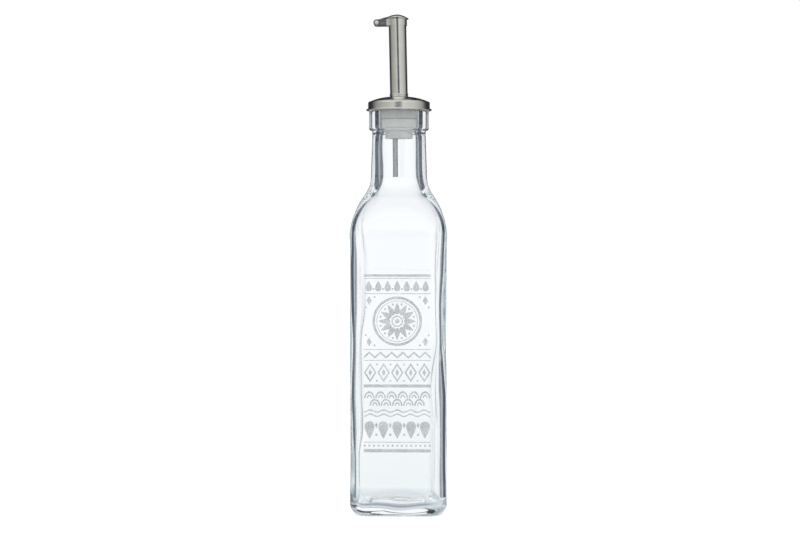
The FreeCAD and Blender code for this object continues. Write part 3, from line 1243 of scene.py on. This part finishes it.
UPPER_CARDS: Cards = (
    (-180.0, (1.5, 1.5, 1.5)), (-120.0, (1.5, 1.5, 1.5)), (-95.0, (0.6, 0.62, 0.66)),
    (-60.0, NIGHT), (60.0, NIGHT), (95.0, (0.5, 0.52, 0.55)), (120.0, (1.2, 1.2, 1.2)),
    (180.0, (1.5, 1.5, 1.5)))
LENS_SIDE: Colour = (0.12, 0.135, 0.165)
FRONT_FILL: Colour = (0.62, 0.63, 0.64)
OVERHEAD: Colour = (0.8, 0.8, 0.8)
UNDERFOOT: Colour = (0.64, 0.70, 0.74)
SHADOWED: Colour = (0.34, 0.38, 0.42)


@dataclass(frozen=True)
class Levels:
    """Elevations, in degrees, between which one light of the world gives way to another."""

    back: Span = (-9.0, -2.5)
    collar: Span = (2.7, 3.4)
    above_collar: Span = (9.0, 5.0)
    above_glass: Span = (30.0, 42.0)
    lens: Span = (0.5, 2.5)
    above_steel: Span = (9.0, 18.0)
    steel_top: Span = (34.0, 50.0)
    top: Span = (56.0, 70.0)
    horizon: Span = (-17.0, -12.0)
    under: Span = (-40.0, -13.0)
    nadir: Span = (-75.0, -45.0)


@dataclass
class Studio:
    """Floor, lights, surroundings and camera."""

    lens: float = 76.6
    distance: float = 1.032
    eye_height: float = 0.1787
    tilt_down: float = 1.70
    turn: float = 1.3
    aside: float = -0.034
    sensor: float = 36.0
    floor_radius: float = 12.0
    floor_sides: int = 96
    overhead: float = 1.7
    lamp_width: float = 150.0
    low_mirror: float = 0.6
    levels: Levels = Levels()
    bounces: int = 256

    def build_floor(self) -> None:
        """Lay a wide pale disc under the bottle."""
        shape = bmesh.new()
        bmesh.ops.create_circle(shape, cap_ends=True, radius=self.floor_radius,
                                segments=self.floor_sides)
        floor = show_piece(shape, "floor", PaleFloor().make(), smooth=False)
        floor.visible_glossy = False
        floor.visible_transmission = False
        floor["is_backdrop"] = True

    def build_camera(self) -> None:
        """Stand the camera in front, a little turned towards the side away from the hinge."""
        data = bpy.data.cameras.new("camera")
        data.lens = self.lens
        data.sensor_width = self.sensor
        camera = bpy.data.objects.new("camera", data)
        bpy.context.collection.objects.link(camera)
        turn = math.radians(self.turn)
        camera.location = (self.distance * math.sin(turn), -self.distance * math.cos(turn),
                           self.eye_height)
        camera.rotation_euler = (math.radians(90.0 - self.tilt_down), 0.0,
                                 turn + math.radians(self.aside))
        bpy.context.scene.camera = camera

    def build_world(self) -> None:
        """Surround the bottle with a bright back, dark flags, wide side lights and a top."""
        world = bpy.data.worlds.new("studio")
        bpy.context.scene.world = world
        world.use_nodes = True
        book = NodeBook(world.node_tree)
        way = book.add("ShaderNodeTexCoord").outputs["Generated"]
        axes = book.add("ShaderNodeSeparateXYZ", {"Vector": way})
        x, y, z = (axes.outputs[name] for name in "XYZ")
        turn = book.maths("DIVIDE", book.maths("ARCTAN2", x, y), 2.0 * math.pi)
        climb = book.maths("MULTIPLY", book.maths("ARCSINE", z), 180.0 / math.pi)

        at = {name: book.ramp(climb, *span) for name, span in vars(self.levels).items()}

        share = book.maths("ADD", turn, 0.5)
        path = book.add("ShaderNodeLightPath").outputs
        upper = book.cards(share, UPPER_CARDS)

        through = book.blend(at["back"], book.cards(share, flag_cards(SLATE, LOW_WHITE)),
                             book.cards(share, flag_cards(SLATE, WHITE)))
        collar = book.maths("MULTIPLY", at["collar"], at["above_collar"])
        through = book.blend(collar, through, book.cards(share, flag_cards(NIGHT, WHITE)))
        through = book.blend(at["above_glass"], through, upper)

        mirrored = book.blend(at["lens"], book.cards(share, mirror_cards(FRONT_FILL)),
                              book.cards(share, mirror_cards(LENS_SIDE)))
        mirrored = book.blend(at["above_steel"], mirrored, upper)
        mirrored = book.blend(at["steel_top"], mirrored, OVERHEAD)

        straight = book.maths("SUBTRACT", 1.0, path["Is Transmission Ray"])
        mirror_share = book.maths("MULTIPLY", path["Is Glossy Ray"], straight)
        colour = book.blend(mirror_share, through, mirrored)
        colour = book.blend(at["top"], colour, OVERHEAD)
        under = book.blend(at["under"], UNDERFOOT, LOW_WHITE)
        under = book.blend(at["nadir"], SHADOWED, under)
        kept = book.maths("MAXIMUM", at["horizon"],
                          book.maths("MULTIPLY", mirror_share, self.low_mirror))
        colour = book.blend(kept, under, colour)
        colour = book.blend(path["Is Camera Ray"], colour, (1.0, 1.0, 1.0))
        light = book.add("ShaderNodeBackground", {"Color": colour, "Strength": 1.0})
        book.add("ShaderNodeOutputWorld", {"Surface": light.outputs[0]})

    def build_lights(self) -> None:
        """Hang one very soft lamp overhead, for the floor; steel and glass do not mirror it."""
        data = bpy.data.lights.new("overhead", "SUN")
        data.energy = self.overhead
        data.angle = math.radians(self.lamp_width)
        lamp = bpy.data.objects.new("overhead", data)
        lamp.visible_glossy = False
        lamp.visible_transmission = False
        bpy.context.collection.objects.link(lamp)

    def build(self) -> None:
        """Build the whole studio."""
        self.build_floor()
        self.build_camera()
        self.build_world()
        self.build_lights()
        bpy.context.scene.view_settings.view_transform = "Standard"
        for kind in ("max", "glossy", "transmission"):
            setattr(bpy.context.scene.cycles, f"{kind}_bounces", self.bounces)


def main() -> None:
    """Build the glass, dress the pourer and set the studio around them."""
    logging.basicConfig(level=logging.INFO, format="%(name)s: %(message)s")
    low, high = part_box("bottle")
    glass = GlassBottle(half=(high[0] - low[0]) / 2.0 / MM, rim=high[2] / MM)
    etching = Etching(front=low[1] / MM)
    for piece in (glass.dress(ClearGlass()), etching.dress(EtchedFrost())):
        LOG.info("%s: %d faces", piece.name, len(piece.data.polygons))

    pourer = Pourer({
        "stopper": CloudedPlastic(),
        # Painted shade: the air tube's steel is a darker copy of the other steel, for the dimmer
        # look of the tube within the glass.
        "air_tube": SatinSteel("steel_air_tube", Grain.ALONG, shade=(0.36, 0.355, 0.34),
                               roughness=0.22),
        "pourer_cap": SatinSteel("steel_cap", Grain.AROUND, roughness=0.2),
        "spout_tube": SatinSteel("steel_spout", Grain.AROUND),
        "hinge_sleeve": SatinSteel("steel_sleeve", Grain.AROUND),
        "rivet": SatinSteel("steel_rivet", Grain.AROUND, roughness=0.18),
        "lid": SatinSteel("steel_lid", Grain.AROUND, roughness=0.1),
    })
    pourer.dress()
    LOG.info("pourer: %d pieces dressed", len(pourer.finishes))

    Studio().build()
    LOG.info("studio ready")

    low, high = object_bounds()


if __name__ == "__main__":
    main()
